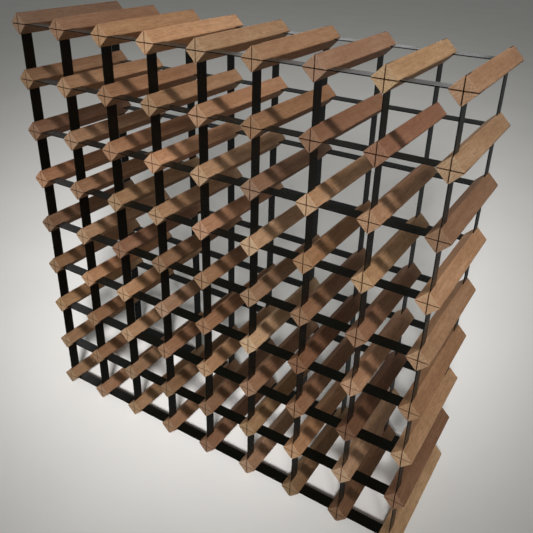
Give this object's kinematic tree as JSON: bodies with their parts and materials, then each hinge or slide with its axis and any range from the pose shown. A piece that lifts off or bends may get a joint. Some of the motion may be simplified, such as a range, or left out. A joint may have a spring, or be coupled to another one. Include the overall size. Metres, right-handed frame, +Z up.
{
  "type": "wine rack",
  "caption": "Free-standing wine rack: a square grid of wooden bars set on their corners, held at both ends by interlocking black steel strips.",
  "frame": {"origin": "on the floor under the middle of the rack", "axes": "+Z up, -Y out of the front, +X to the right seen from the front"},
  "size_m": [0.8124, 0.242, 0.8125],
  "materials": {
    "bar_wood": "bare tan softwood, planed smooth, with eased long edges",
    "black_steel": "satin black paint"
  },
  "bodies": {
    "root": {"row_1_bars_and_rear_strip": "bar_wood", "row_1_left_bar": "bar_wood", "row_1_right_bar": "bar_wood", "row_1_front_strip": "black_steel", "column_1_front_strip": "black_steel", "column_1_rear_strip": "black_steel", "row_2_bars_and_rear_strip": "bar_wood", "row_2_left_bar": "bar_wood", "row_2_right_bar": "bar_wood", "row_2_front_strip": "black_steel", "column_2_front_strip": "black_steel", "column_2_rear_strip": "black_steel", "row_3_bars_and_rear_strip": "bar_wood", "row_3_left_bar": "bar_wood", "row_3_right_bar": "bar_wood", "row_3_front_strip": "black_steel", "column_3_front_strip": "black_steel", "column_3_rear_strip": "black_steel", "row_4_bars_and_rear_strip": "bar_wood", "row_4_left_bar": "bar_wood", "row_4_right_bar": "bar_wood", "row_4_front_strip": "black_steel", "column_4_front_strip": "black_steel", "column_4_rear_strip": "black_steel", "row_5_bars_and_rear_strip": "bar_wood", "row_5_left_bar": "bar_wood", "row_5_right_bar": "bar_wood", "row_5_front_strip": "black_steel", "column_5_front_strip": "black_steel", "column_5_rear_strip": "black_steel", "row_6_bars_and_rear_strip": "bar_wood", "row_6_left_bar": "bar_wood", "row_6_right_bar": "bar_wood", "row_6_front_strip": "black_steel", "column_6_front_strip": "black_steel", "column_6_rear_strip": "black_steel", "row_7_bars_and_rear_strip": "bar_wood", "row_7_left_bar": "bar_wood", "row_7_right_bar": "bar_wood", "row_7_front_strip": "black_steel", "column_7_front_strip": "black_steel", "column_7_rear_strip": "black_steel", "row_8_bars_and_rear_strip": "bar_wood", "row_8_left_bar": "bar_wood", "row_8_right_bar": "bar_wood", "row_8_front_strip": "black_steel", "column_8_front_strip": "black_steel", "column_8_rear_strip": "black_steel", "row_9_bars_and_rear_strip": "bar_wood", "row_9_left_bar": "bar_wood", "row_9_right_bar": "bar_wood", "row_9_front_strip": "black_steel", "column_9_front_strip": "black_steel", "column_9_rear_strip": "black_steel"}
  },
  "joints": []
}
